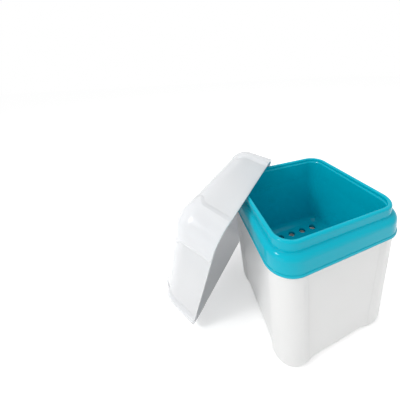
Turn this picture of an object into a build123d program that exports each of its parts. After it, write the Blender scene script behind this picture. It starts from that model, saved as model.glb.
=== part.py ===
from build123d import *
import os
from math import cos, radians, sin

# Soaking case for a retainer: container, drain basket and lid, open, with the lid leaning on a corner.
# Millimetres. The origin is on the floor under the container's middle, +Z is up, and the container's
# faces are square to X and Y.

# Plan of the basket's flange, which the container and the lid line up with
plan_width = 80.0
plan_depth = 80.0
plan_corner = 14.0

# Clearances
seat_gap = 0.3
basket_clearance = 0.4
lean_gap = 0.3

# Container: height to the rim that the basket hangs on, and how far its sides draw in
cup_height = 69.0
cup_wall = 1.4
cup_floor = 2.0
cup_inset = 1.5
cup_draft = 3.5
cup_bottom_corner = 11.5
cup_edge_radius = 4.5
cup_shoulder = 2.0
cup_neck_wall = 1.2
foot_margin = 8.0
foot_groove = 1.6
foot_groove_depth = 0.6

# Corner lobes that stand proud of the shallow side panels
cup_lobe = 15.5
cup_panel_recess = 1.2
lid_lobe = 16.0
lid_panel_recess = 0.9
lobe_slope = 3.2

# Basket: neck that the lid goes over, flange with its skirt, thin lip along the skirt's lower edge
neck_height = 5.0
neck_inset = 2.9
neck_round = 1.1
flange_roof = 1.8
flange_round = 3.2
skirt_height = 10.5
skirt_wall = 1.6
skirt_lip = 0.3
skirt_lip_height = 1.5

# Basket walls and drain floor
basket_wall = 1.3
basket_floor = 2.0
basket_rise = 18.5
basket_edge_radius = 6.0
mouth_step = 0.6
mouth_depth = 2.2
mouth_slope = 0.9
drain_hole = 5.0
drain_pitch = 9.5
drain_margin = 6.0

# Lid: its rim stands out beyond the flange and goes loosely over the neck
lid_overhang = 1.0
lid_rim_corner = 10.0
lid_height = 28.0
lid_wall = 2.0
lid_draft = 1.2
lid_shoulder = 13.0
lid_crown_corner = 15.0

# How the lid leans, in degrees: where its crown looks, how far the crown tips up, its turn in its own plane
lid_heading = 138.0
lid_lean = 21.0
lid_turn = 7.5

# How far the leaning lid sits to one side of the container's middle
lid_offset = -11.0

# Heights that follow from the sizes above
roof_bottom = cup_height + seat_gap
flange_top = roof_bottom + flange_roof
skirt_bottom = flange_top - skirt_height
neck_top = flange_top + neck_height
body_top = skirt_bottom - seat_gap
basket_bottom = cup_floor + basket_rise


def plan(inset, corner=plan_corner):
    """Rounded rectangle on the flange's outline, drawn in by inset: width, depth, corner radius."""
    return plan_width - 2 * inset, plan_depth - 2 * inset, max(corner - inset, 1.0)


def smaller(section, inset):
    """A plan section drawn in by inset on every side."""
    width, depth, radius = section
    return width - 2 * inset, depth - 2 * inset, max(radius - inset, 1.0)


def block(low, high, z_low, z_high):
    """Tapered block between two plan sections."""
    sections = Sketch() + [
        Plane.XY.offset(z) * RectangleRounded(width, depth, radius)
        for (width, depth, radius), z in ((low, z_low), (high, z_high))
    ]
    return loft(sections)


def edges_at(shape, z):
    """Edges that lie flat at height z."""
    return [e for e in shape.edges() if abs(e.center().Z - z) < 1e-4 and e.bounding_box().size.Z < 1e-4]


def lobe_masks(low, high, height, lobe, recess):
    """Four upright corner blocks whose slanted sides end the lobes at the panels."""

    def outline(half_x, half_y, z):
        end_x = half_x - lobe
        end_y = half_y - lobe
        points = [
            (end_x - lobe_slope, half_y - 2 * recess),
            (end_x + 2 * lobe_slope, half_y + recess),
            (half_x + recess, half_y + recess),
            (half_x + recess, end_y + 2 * lobe_slope),
            (half_x - 2 * recess, end_y - lobe_slope),
        ]
        return Plane.XY.offset(z) * make_face(Polyline(*points, close=True))

    corner = loft(Sketch() + [
        outline(low[0] / 2, low[1] / 2, 0),
        outline(high[0] / 2, high[1] / 2, height),
    ])
    pair = [corner, mirror(corner, Plane.YZ)]
    return pair + [mirror(c, Plane.XZ) for c in pair]


def lobed_block(low, high, height, lobe, recess, edge_radius, edge_height):
    """Tapered block with a proud lobe at each corner and a shallow panel between; one end is rounded."""
    whole = block(low, high, 0, height)
    whole = fillet(edges_at(whole, edge_height), edge_radius)
    core = block(smaller(low, recess), smaller(high, recess), 0, height)
    core = fillet(edges_at(core, edge_height), edge_radius - recess / 2)
    for mask in lobe_masks(low, high, height, lobe, recess):
        core += whole & mask
    return core.clean()


# Plan sections that more than one piece uses
cup_top_plan = plan(cup_inset)
cup_bottom_plan = (cup_top_plan[0] - 2 * cup_draft, cup_top_plan[1] - 2 * cup_draft, cup_bottom_corner)
lid_rim_plan = (plan_width + 2 * lid_overhang, plan_depth + 2 * lid_overhang, lid_rim_corner)
lid_crown_plan = (lid_rim_plan[0] - 2 * lid_draft, lid_rim_plan[1] - 2 * lid_draft, lid_crown_corner)


def make_cup():
    """Container: lobed body, stepped-in neck that goes up inside the basket's skirt, groove in the base."""
    body = lobed_block(cup_bottom_plan, cup_top_plan, body_top, cup_lobe, cup_panel_recess,
                       cup_edge_radius, 0)
    neck_outer = skirt_lip + skirt_wall + seat_gap
    neck_inner = neck_outer + cup_neck_wall
    shoulder_bottom = body_top - cup_shoulder
    body += block(plan(neck_outer), plan(neck_outer), shoulder_bottom, cup_height)

    hollow = lobed_block(smaller(cup_bottom_plan, cup_wall), smaller(cup_top_plan, cup_wall), shoulder_bottom,
                         cup_lobe - cup_wall, cup_panel_recess, cup_edge_radius - cup_wall, 0)
    body -= Pos(0, 0, cup_floor) * hollow
    body -= block(plan(neck_inner), plan(neck_inner), shoulder_bottom, cup_height)

    foot = smaller(cup_bottom_plan, foot_margin)
    middle = smaller(foot, foot_groove)
    groove = block(foot, foot, 0, foot_groove_depth) - block(middle, middle, 0, foot_groove_depth)
    return body - groove


def make_basket():
    """Drain basket: neck, rounded flange with a skirt over the container's edge, tapered walls."""
    skirt = block(plan(skirt_lip), plan(skirt_lip), skirt_bottom, flange_top)
    skirt = fillet(edges_at(skirt, flange_top), flange_round)
    lip_top = skirt_bottom + skirt_lip_height
    lip = block(plan(0), plan(0), skirt_bottom, lip_top)
    skirt += fillet(edges_at(lip, skirt_bottom) + edges_at(lip, lip_top), skirt_lip * 0.9)
    skirt_inside = plan(skirt_lip + skirt_wall)
    skirt -= block(skirt_inside, skirt_inside, skirt_bottom, roof_bottom)

    # The walls keep their clearance to the container's panels all the way down
    panel_inset = cup_inset + cup_wall + cup_panel_recess + basket_clearance
    wall_high = plan(panel_inset)
    inside = smaller(wall_high, basket_wall)
    mouth = smaller(inside, -mouth_step)
    mouth_bottom = neck_top - mouth_depth

    neck = block(plan(neck_inset), plan(neck_inset), roof_bottom, neck_top)
    neck -= block(mouth, mouth, mouth_bottom, neck_top)
    neck = fillet(edges_at(neck, neck_top), neck_round)

    wall_low = smaller(wall_high, cup_draft * (1 - basket_bottom / body_top))
    walls = block(wall_low, wall_high, basket_bottom, body_top)
    walls = fillet(edges_at(walls, basket_bottom), basket_edge_radius)
    walls += block(wall_high, wall_high, body_top, flange_top)

    floor_top = basket_bottom + basket_floor
    hollow = block(smaller(wall_low, basket_wall), smaller(wall_high, basket_wall), floor_top, body_top)
    hollow = fillet(edges_at(hollow, floor_top), basket_edge_radius - basket_wall)
    hollow += block(inside, inside, body_top, mouth_bottom - mouth_slope)
    hollow += block(inside, mouth, mouth_bottom - mouth_slope, mouth_bottom)
    basket = skirt + neck + walls - hollow

    count_x = int((wall_low[0] / 2 - basket_wall - drain_margin) * 2 // drain_pitch) + 1
    count_y = int((wall_low[1] / 2 - basket_wall - drain_margin) * 2 // drain_pitch) + 1
    drain = Sketch() + GridLocations(drain_pitch, drain_pitch, count_x, count_y) * Circle(drain_hole / 2)
    return basket - extrude(Plane.XY.offset(basket_bottom) * drain, basket_floor)


def lid_hollow():
    """Space inside the lid, in the lid's own frame."""
    hollow_top = lid_height - lid_wall
    hollow = block(smaller(lid_rim_plan, lid_wall), smaller(lid_crown_plan, lid_wall), 0, hollow_top)
    return fillet(edges_at(hollow, hollow_top), lid_shoulder - lid_wall)


def make_lid():
    """Lid in its own frame: rim at Z = 0, crown upwards."""
    shell = lobed_block(lid_rim_plan, lid_crown_plan, lid_height, lid_lobe, lid_panel_recess,
                        lid_shoulder, lid_height)
    return shell - lid_hollow()


def lean_lid(lid, basket):
    """Stand the lid on one rim corner and slide it over the container's corner until it touches."""
    heading = radians(lid_heading)
    tip = radians(lid_lean)
    turn = radians(lid_turn)
    outward = Vector(cos(heading), sin(heading), 0)
    sideways = Vector(sin(heading), -cos(heading), 0)
    crown = outward * cos(tip) + Vector(0, 0, sin(tip))
    rise = sideways.cross(crown)
    pose = Plane(origin=(0, 0, 0), x_dir=sideways * cos(turn) + rise * sin(turn), z_dir=crown)

    # Plain outlines of the pieces find the place quickly, and the pieces themselves close the last gap
    plain_lid = pose * (block(lid_rim_plan, lid_crown_plan, 0, lid_height) - lid_hollow())
    plain_case = block(cup_bottom_plan, cup_top_plan, 0, body_top)
    plain_case += block(plan(0), plan(0), skirt_bottom, flange_top)
    plain_case += block(plan(neck_inset), plan(neck_inset), flange_top, neck_top)
    start = sideways * lid_offset + outward * (plan_width + plan_depth)
    start += Vector(0, 0, -plain_lid.bounding_box().min.Z)
    reach = slide_in(Pos(*start) * plain_lid, plain_case, outward)
    placed = Pos(*(start - outward * reach)) * (pose * lid)
    return Pos(*(outward * -slide_in(placed, basket, outward))) * placed


def slide_in(moving, still, outward):
    """How far a shape can go inward before only lean_gap is left to the other shape."""
    travel = 0.0
    gap = moving.distance_to(still)
    while gap > 1.1 * lean_gap:
        travel += gap - lean_gap
        gap = (Pos(*(outward * -travel)) * moving).distance_to(still)
    return travel


outer_cup = make_cup()
strainer_basket = make_basket()
lid = lean_lid(make_lid(), strainer_basket)

os.makedirs("parts", exist_ok=True)
export_step(outer_cup, "parts/outer_cup.step")
export_step(strainer_basket, "parts/strainer_basket.step")
export_step(lid, "parts/lid.step")
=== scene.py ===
import math

import bpy
from mathutils import Matrix, Vector

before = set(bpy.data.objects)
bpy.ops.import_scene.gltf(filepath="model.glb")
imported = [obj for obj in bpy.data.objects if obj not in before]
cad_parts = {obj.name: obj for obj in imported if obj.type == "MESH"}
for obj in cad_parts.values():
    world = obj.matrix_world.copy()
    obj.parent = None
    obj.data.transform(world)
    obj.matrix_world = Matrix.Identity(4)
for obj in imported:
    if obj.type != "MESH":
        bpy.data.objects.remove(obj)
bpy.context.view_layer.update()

# Lengths in this file are in millimetres, and this is one of them in metres
MM = 0.001
WHITE = "#FFFFFF"

# The skin that all three mouldings share: sink waves, rounded edges, and how rubbing varies the roughness
WAVE_LENGTH = 30
WAVE_DEPTH = 0.08
EDGE_ROUNDING = 0.4
RUBBED_SMOOTHER = 0.04
RUBBED_ROUGHER = 0.06
POLYPROPYLENE_IOR = 1.49
SCATTER_SHARE = 0.9


def linear(code):
    """An sRGB hex colour as the linear colour that a socket takes."""
    channels = [int(code[i:i + 2], 16) / 255 for i in (1, 3, 5)]
    return tuple(c / 12.92 if c <= 0.04045 else ((c + 0.055) / 1.055) ** 2.4 for c in channels) + (1.0,)


def add(owner, kind, settings=None, **sockets):
    """Adds a node to a material or the world; each socket takes a value or another node's output.

    A socket goes by its name, with _ for a space, or by i and its number where two share a name.
    """
    node = owner.node_tree.nodes.new("ShaderNode" + kind)
    for name, value in (settings or {}).items():
        setattr(node, name, value)
    for name, value in sockets.items():
        by_number = name[0] == "i" and name[1:].isdigit()
        socket = node.inputs[int(name[1:]) if by_number else name.replace("_", " ")]
        if isinstance(value, bpy.types.NodeSocket):
            owner.node_tree.links.new(value, socket)
        else:
            socket.default_value = value
    return node


def blank(name):
    """A material with no nodes yet."""
    material = bpy.data.materials.new(name)
    material.use_nodes = True
    material.node_tree.nodes.clear()
    return material


def moulded_plastic(name, colour, shade, roughness, gleam, grain_size, grain_depth, scatter=0.0):
    """Injection-moulded polypropylene: a waxy skin with fine mould grain and slow sink waves under the gloss."""
    material = blank(name)
    place = add(material, "TexCoord").outputs["Object"]
    # Sink and flow as the part cools leave long waves that bend reflections on the flat panels
    waves = add(material, "TexNoise", Vector=place, Scale=1 / (WAVE_LENGTH * MM), Detail=1.0, Roughness=0.4)
    # Mould grain, drawn several times coarser than the real 0.05 mm so that it softens the highlights here
    grain = add(material, "TexNoise", Vector=place, Scale=1 / (grain_size * MM), Detail=2.0, Roughness=0.6)
    # The CAD edges are sharp; moulded ones are rounded by a few tenths and catch the light
    edge = add(material, "Bevel", {"samples": 6}, Radius=EDGE_ROUNDING * MM)
    wavy = add(material, "Bump", Strength=1.0, Distance=WAVE_DEPTH * MM,
               Height=waves.outputs["Fac"], Normal=edge.outputs["Normal"])
    grainy = add(material, "Bump", Strength=0.6, Distance=grain_depth * MM,
                 Height=grain.outputs["Fac"], Normal=wavy.outputs["Normal"])
    # Wall thickness makes the colour drift very slightly
    tint = add(material, "Mix", {"data_type": "RGBA"},
               Factor=waves.outputs["Fac"], i6=linear(colour), i7=linear(shade))
    rubbed = add(material, "MapRange", Value=grain.outputs["Fac"],
                 To_Min=roughness - RUBBED_SMOOTHER, To_Max=roughness + RUBBED_ROUGHER)
    skin = add(material, "BsdfPrincipled", Base_Color=tint.outputs[2], Roughness=rubbed.outputs["Result"],
               IOR=POLYPROPYLENE_IOR, Specular_IOR_Level=gleam, Normal=grainy.outputs["Normal"])
    if scatter:
        skin.inputs["Subsurface Weight"].default_value = SCATTER_SHARE
        skin.inputs["Subsurface Radius"].default_value = (1.0, 1.0, 1.0)
        skin.inputs["Subsurface Scale"].default_value = scatter * MM
    add(material, "OutputMaterial", Surface=skin.outputs["BSDF"])
    return material


def give(node, material):
    """Puts a material on a CAD node in place of its own."""
    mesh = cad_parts[node].data
    mesh.materials.clear()
    mesh.materials.append(material)


# White polypropylene from a lightly etched mould: milky, with broad soft highlights
give("outer_cup", moulded_plastic(
    "white_polypropylene", "#F0F0EF", "#EAEAE9",
    roughness=0.3, gleam=0.35, grain_size=0.5, grain_depth=0.003, scatter=2.0))
# Frosted polypropylene with little pigment: light goes deeper into it, so it looks cooler and greyer than
# the container, and its smoother shoulder shows a tighter highlight
give("lid", moulded_plastic(
    "frosted_polypropylene", "#E4E5E8", "#DEE0E3",
    roughness=0.22, gleam=0.35, grain_size=0.4, grain_depth=0.003, scatter=5.0))
# Dyed polypropylene from a polished mould: full colour with small bright highlights
give("strainer_basket", moulded_plastic(
    "teal_polypropylene", "#00B8CE", "#00B0C6",
    roughness=0.1, gleam=0.19, grain_size=0.6, grain_depth=0.002))


# The camera stands above the near left corner and looks down on the case. Its turn from +Y, its dip below
# the horizon and its roll are in degrees; its focal length and the point where its axis meets the picture
# are in pixels of the photograph, from the upper left.
CAMERA_AT = (-72.69, -107.7, 149.16)
CAMERA_TURN, CAMERA_DIP, CAMERA_ROLL = -21.32, 9.75, -2.07
CAMERA_FOCAL, MIDDLE_X, MIDDLE_Y = 217.35, 256.0, 108.0
FRAME_PIXELS = 400
SENSOR_WIDTH = 36

turn, dip, roll = (math.radians(a) for a in (CAMERA_TURN, CAMERA_DIP, CAMERA_ROLL))
ahead = Vector((-math.sin(turn) * math.cos(dip), math.cos(turn) * math.cos(dip), -math.sin(dip)))
side = ahead.cross(Vector((0, 0, 1))).normalized()
top = side.cross(ahead)
right = side * math.cos(roll) + top * math.sin(roll)
up = top * math.cos(roll) - side * math.sin(roll)
axes = Matrix((right, up, -ahead)).transposed()

camera_data = bpy.data.cameras.new("camera")
camera_data.sensor_width = SENSOR_WIDTH
camera_data.lens = CAMERA_FOCAL / FRAME_PIXELS * SENSOR_WIDTH
camera_data.shift_x = (FRAME_PIXELS / 2 - MIDDLE_X) / FRAME_PIXELS
camera_data.shift_y = (MIDDLE_Y - FRAME_PIXELS / 2) / FRAME_PIXELS
camera_data.clip_start = 10 * MM
camera = bpy.data.objects.new("camera", camera_data)
camera.matrix_world = Matrix.Translation(Vector(CAMERA_AT) * MM) @ axes.to_4x4()
bpy.context.scene.collection.objects.link(camera)
bpy.context.scene.camera = camera


# White studio paper: matt, and lifted to white for the camera and for reflections, with the case's soft
# shadow left in
PAPER_LIFT = 0.38
paper = blank("studio_paper")
rays = add(paper, "LightPath").outputs
seen = add(paper, "Math", {"operation": "MAXIMUM"}, i0=rays["Is Camera Ray"], i1=rays["Is Glossy Ray"])
seen = add(paper, "Math", {"operation": "MAXIMUM"}, i0=seen.outputs["Value"], i1=rays["Is Transmission Ray"])
matt = add(paper, "BsdfDiffuse", Color=linear("#F2F2F2"))
lift = add(paper, "Emission", Color=linear(WHITE), Strength=PAPER_LIFT)
lifted = add(paper, "AddShader", i0=matt.outputs["BSDF"], i1=lift.outputs["Emission"])
sheet = add(paper, "MixShader", Fac=seen.outputs["Value"], i1=matt.outputs["BSDF"], i2=lifted.outputs["Shader"])
add(paper, "OutputMaterial", Surface=sheet.outputs["Shader"])

# The floor lies just under the case, so that no two faces share a plane
FLOOR_SIDE = 6000
FLOOR_HEIGHT = -0.2
reach = FLOOR_SIDE / 2
corners = [(-reach, -reach), (reach, -reach), (reach, reach), (-reach, reach)]
floor_mesh = bpy.data.meshes.new("floor")
floor_mesh.from_pydata([(x * MM, y * MM, FLOOR_HEIGHT * MM) for x, y in corners], [], [(0, 1, 2, 3)])
floor_mesh.materials.append(paper)
floor = bpy.data.objects.new("floor", floor_mesh)
bpy.context.scene.collection.objects.link(floor)

# Even studio surround: it lights the case softly, and the camera sees it white
SURROUND_STRENGTH = 0.69
world = bpy.data.worlds.new("studio")
bpy.context.scene.world = world
world.use_nodes = True
world.node_tree.nodes.clear()
surround = add(world, "Background", Color=linear(WHITE), Strength=SURROUND_STRENGTH)
backdrop = add(world, "Background", Color=linear(WHITE), Strength=1.0)
choice = add(world, "MixShader", Fac=add(world, "LightPath").outputs["Is Camera Ray"],
             i1=surround.outputs["Background"], i2=backdrop.outputs["Background"])
add(world, "OutputWorld", Surface=choice.outputs["Shader"])


def softbox(name, place, aim, size, watts):
    """A square soft light that looks at a point."""
    data = bpy.data.lights.new(name, "AREA")
    data.size = size * MM
    data.energy = watts
    obj = bpy.data.objects.new(name, data)
    bpy.context.scene.collection.objects.link(obj)
    obj.location = Vector(place) * MM
    obj.rotation_euler = (Vector(aim) - Vector(place)).to_track_quat("-Z", "Y").to_euler()


# High on the left, and small: the bright spots on the corners of the lid and the flange
softbox("key_light", place=(-530, -90, 500), aim=(-10, 10, 40), size=150, watts=1.55)
# Low on the left: the lid's outside and the faces that look left
softbox("side_light", place=(-600, -300, 60), aim=(-40, 0, 35), size=350, watts=0.35)
# In front and weak: the front panel and the skirt
softbox("fill_light", place=(240, -620, 90), aim=(-20, 20, 40), size=400, watts=0.2)
# Overhead: the rims, the lid's upper side and the basket's floor
softbox("top_light", place=(60, 160, 640), aim=(0, 0, 50), size=400, watts=0.8)

bpy.context.scene.view_settings.view_transform = "Standard"
